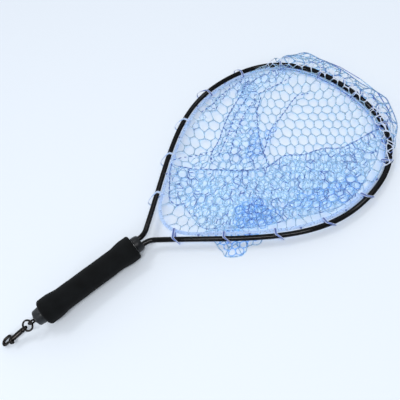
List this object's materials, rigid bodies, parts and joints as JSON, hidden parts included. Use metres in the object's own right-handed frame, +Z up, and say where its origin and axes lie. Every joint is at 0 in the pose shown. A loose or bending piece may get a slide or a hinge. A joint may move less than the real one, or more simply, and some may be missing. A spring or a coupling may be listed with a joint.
{
  "type": "rubber landing net",
  "caption": "Teardrop landing net: bent tube hoop with a looped-on clear rubber mesh bag, short foam grip and a swivel snap hook on its butt.",
  "frame": {"origin": "on the floor, under the middle of the whole object's outline as it lies flat", "axes": "+X along the handle from the butt to the hoop's tip, +Z up out of the floor, +Y across the hoop"},
  "size_m": [0.7266, 0.3528, 0.0444],
  "materials": {
    "black_tube": "black satin anodised tube",
    "grey_plastic": "dark grey satin moulding",
    "bare_aluminium": "plain drawn tube, hidden",
    "bare_steel": "plain, hidden",
    "foam": "matte closed-cell foam",
    "black_metal": "glossy black nickel",
    "net_rubber": "translucent pale blue moulded rubber",
    "loop_rubber": "translucent blue rubber, a little darker"
  },
  "bodies": {
    "net_frame": {"hoop_tube": "black_tube", "front_collar": "grey_plastic", "handle_core_tube": "bare_aluminium", "hoop_pin_1": "bare_steel", "hoop_pin_2": "bare_steel", "foam_grip": "foam", "butt_cap": "grey_plastic", "eye_bolt": "black_metal", "eye_nut": "bare_steel", "net_rim": "net_rubber", "net_bag": "net_rubber", "net_loop_01": "loop_rubber", "net_loop_02": "loop_rubber", "net_loop_03": "loop_rubber", "net_loop_04": "loop_rubber", "net_loop_05": "loop_rubber", "net_loop_06": "loop_rubber", "net_loop_07": "loop_rubber", "net_loop_08": "loop_rubber", "net_loop_09": "loop_rubber", "net_loop_10": "loop_rubber", "net_loop_11": "loop_rubber", "net_loop_12": "loop_rubber", "net_loop_13": "loop_rubber", "net_loop_14": "loop_rubber", "net_loop_15": "loop_rubber"},
    "swivel_ring": {"snap_ring": "black_metal"},
    "hook_body": {"snap_body": "black_metal", "snap_spring": "bare_steel"},
    "gate_bolt": {"snap_bolt": "black_metal"}
  },
  "joints": [
    {"name": "snap_swing", "type": "hinge", "parent": "net_frame", "child": "swivel_ring", "pos_m": [-0.30717, 0.00018, 0.02521], "axis": [0.1357, 0.9907, -0.0041], "range_deg": [-65, 115]},
    {"name": "snap_swivel", "type": "hinge", "parent": "swivel_ring", "child": "hook_body", "pos_m": [-0.30717, 0.00018, 0.02521], "axis": [-0.9227, 0.1248, -0.3649], "continuous": true},
    {"name": "gate_slide", "type": "slide", "parent": "hook_body", "child": "gate_bolt", "axis": [0.9227, -0.1248, 0.3649], "range_m": [0, 0.0065], "stiffness_N_per_m": 150, "springref_m": -0.01, "deforming": ["snap_spring"]}
  ]
}
